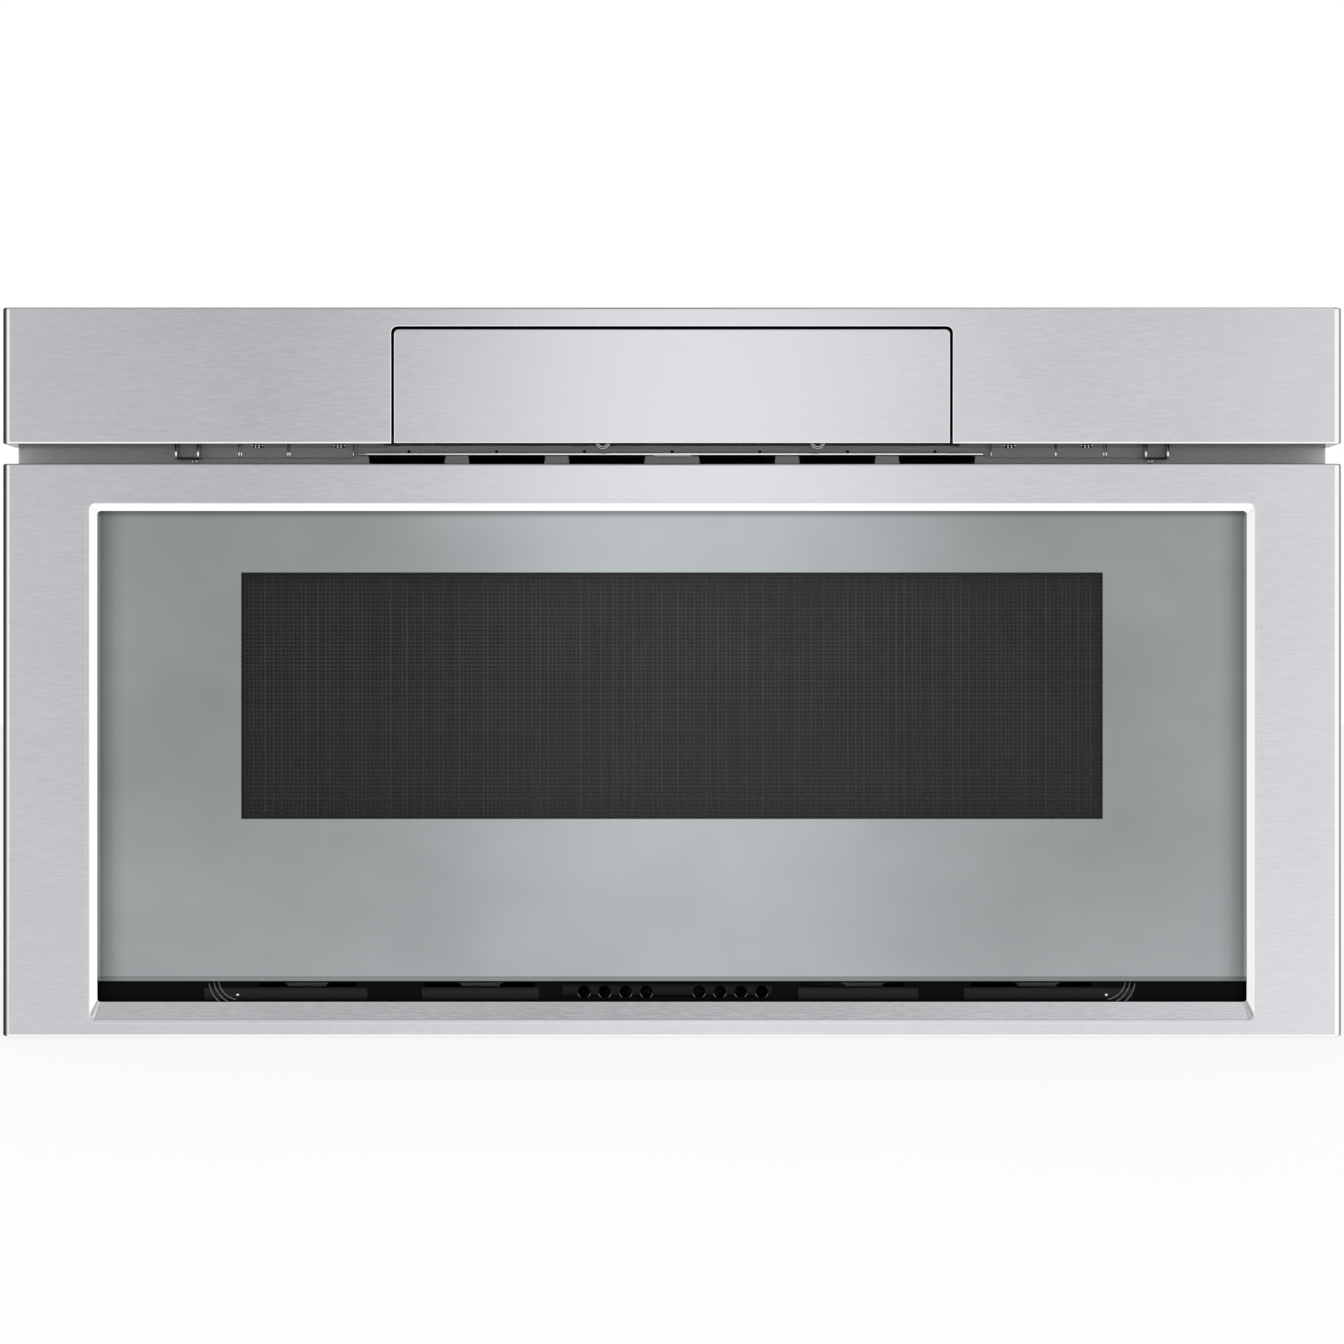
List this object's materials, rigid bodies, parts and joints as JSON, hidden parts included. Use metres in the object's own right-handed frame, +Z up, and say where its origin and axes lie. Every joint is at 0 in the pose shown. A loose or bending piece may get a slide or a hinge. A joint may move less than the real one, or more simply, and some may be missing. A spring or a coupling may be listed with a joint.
{
  "type": "microwave drawer",
  "caption": "Built-in microwave drawer: powered glass-fronted tub on telescopic slides, fixed strip above with a tip-out touch control flap, magnetron chassis behind.",
  "frame": {"origin": "under the middle of the whole appliance, at the level of its skids (bottom centre of the bounding box)", "axes": "+X to the right as seen from the front, -Y out of the front face, the way the drawer opens, +Z up"},
  "size_m": [0.7588, 0.594, 0.4148],
  "materials": {
    "stainless_front": "brushed, horizontal grain",
    "stainless_sheet": "satin, as rolled",
    "galvanised_sheet": "galvanised, fine spangle",
    "zinc_steel": "zinc plated",
    "cavity_enamel": "grey cavity coating",
    "tinted_glass": "tinted, mirror coated",
    "clear_glass": "clear",
    "screen_steel": "dark coated perforated sheet",
    "ceramic_glass": "white glass-ceramic",
    "touch_glass": "polished black glass",
    "black_plastic": "moulded, fine texture",
    "grey_plastic": "moulded",
    "acetal": "natural moulded acetal",
    "mica_sheet": "pressed mica",
    "dark_steel": "dark painted motor can",
    "wound_copper": "laminated core and varnished winding",
    "circuit_board": "solder mask and moulded parts"
  },
  "bodies": {
    "chassis": {"base_pan": "galvanised_sheet", "case_cover": "galvanised_sheet", "back_panel": "galvanised_sheet", "cord_gland": "black_plastic", "face_plate": "stainless_sheet", "oven_cavity": "cavity_enamel", "cavity_rail_left": "galvanised_sheet", "cavity_rail_right": "galvanised_sheet", "stirrer_cover": "mica_sheet", "stirrer_motor": "zinc_steel", "waveguide": "galvanised_sheet", "magnetron": "zinc_steel", "fan_shroud": "black_plastic", "fan_motor": "dark_steel", "exhaust_duct": "galvanised_sheet", "lamp_housing": "acetal", "power_transformer": "wound_copper", "hv_capacitor": "zinc_steel", "power_board": "circuit_board", "interlock_switch_left": "grey_plastic", "interlock_switch_right": "grey_plastic", "slide_support_left": "galvanised_sheet", "slide_support_right": "galvanised_sheet", "slide_outer_left": "zinc_steel", "slide_outer_right": "zinc_steel", "drive_bracket": "galvanised_sheet", "drive_motor": "dark_steel", "control_fascia": "stainless_front", "control_housing": "black_plastic", "vent_deflector": "stainless_sheet", "strip_bracket_left": "galvanised_sheet", "strip_bracket_right": "galvanised_sheet", "flap_drive": "black_plastic"},
    "drawer": {"drawer_frame": "stainless_front", "door_glass": "tinted_glass", "window_screen": "screen_steel", "window_frame": "black_plastic", "glass_carrier": "galvanised_sheet", "door_inner_panel": "galvanised_sheet", "inner_window": "clear_glass", "choke_cover": "grey_plastic", "lower_vent_grille": "black_plastic", "tub": "stainless_sheet", "floor_tray": "ceramic_glass", "drawer_arm_left": "galvanised_sheet", "drawer_arm_right": "galvanised_sheet", "slide_inner_left": "zinc_steel", "slide_inner_right": "zinc_steel", "drive_rack": "acetal"},
    "slide_middles": {"slide_middle_left": "zinc_steel", "slide_middle_right": "zinc_steel"},
    "drive_shaft": {"drive_pinion": "acetal"},
    "motor_shaft": {"motor_pinion": "zinc_steel"},
    "control_flap": {"flap_panel": "stainless_front", "flap_carrier": "black_plastic", "touch_glass": "touch_glass"},
    "stirrer_shaft": {"stirrer": "zinc_steel"},
    "fan_shaft": {"fan_blade": "black_plastic"},
    "plunger_left": {"switch_plunger_left": "black_plastic"},
    "plunger_right": {"switch_plunger_right": "black_plastic"}
  },
  "joints": [
    {"name": "drawer_slide", "type": "slide", "parent": "chassis", "child": "drawer", "axis": [0, -1, 0], "range_m": [0, 0.381]},
    {"name": "slide_middle_run", "type": "slide", "parent": "chassis", "child": "slide_middles", "axis": [0, -1, 0], "range_m": [0, 0.1905]},
    {"name": "drive_shaft_spin", "type": "hinge", "parent": "chassis", "child": "drive_shaft", "pos_m": [0.27, -0.215, 0.0904], "axis": [1, 0, 0], "continuous": true},
    {"name": "motor_shaft_spin", "type": "hinge", "parent": "chassis", "child": "motor_shaft", "pos_m": [0.27, -0.215, 0.0543], "axis": [1, 0, 0], "continuous": true},
    {"name": "control_flap_tilt", "type": "hinge", "parent": "chassis", "child": "control_flap", "pos_m": [0, -0.291, 0.341], "axis": [1, 0, 0], "range_deg": [0, 45]},
    {"name": "stirrer_spin", "type": "hinge", "parent": "chassis", "child": "stirrer_shaft", "pos_m": [0, 0.03, 0.28], "axis": [0, 0, 1], "continuous": true},
    {"name": "fan_spin", "type": "hinge", "parent": "chassis", "child": "fan_shaft", "pos_m": [0.107, 0.2293, 0.236], "axis": [1, 0, 0], "continuous": true},
    {"name": "plunger_left_press", "type": "slide", "parent": "chassis", "child": "plunger_left", "axis": [0, 1, 0], "range_m": [0, 0.0015], "stiffness_N_per_m": 300},
    {"name": "plunger_right_press", "type": "slide", "parent": "chassis", "child": "plunger_right", "axis": [0, 1, 0], "range_m": [0, 0.0015], "stiffness_N_per_m": 300}
  ],
  "couplings": [
    {"joint": "slide_middle_run", "follows": "drawer_slide", "ratio": 0.5},
    {"joint": "drive_shaft_spin", "follows": "drawer_slide", "rad_per_m": 83.333},
    {"joint": "motor_shaft_spin", "follows": "drawer_slide", "rad_per_m": -250}
  ]
}
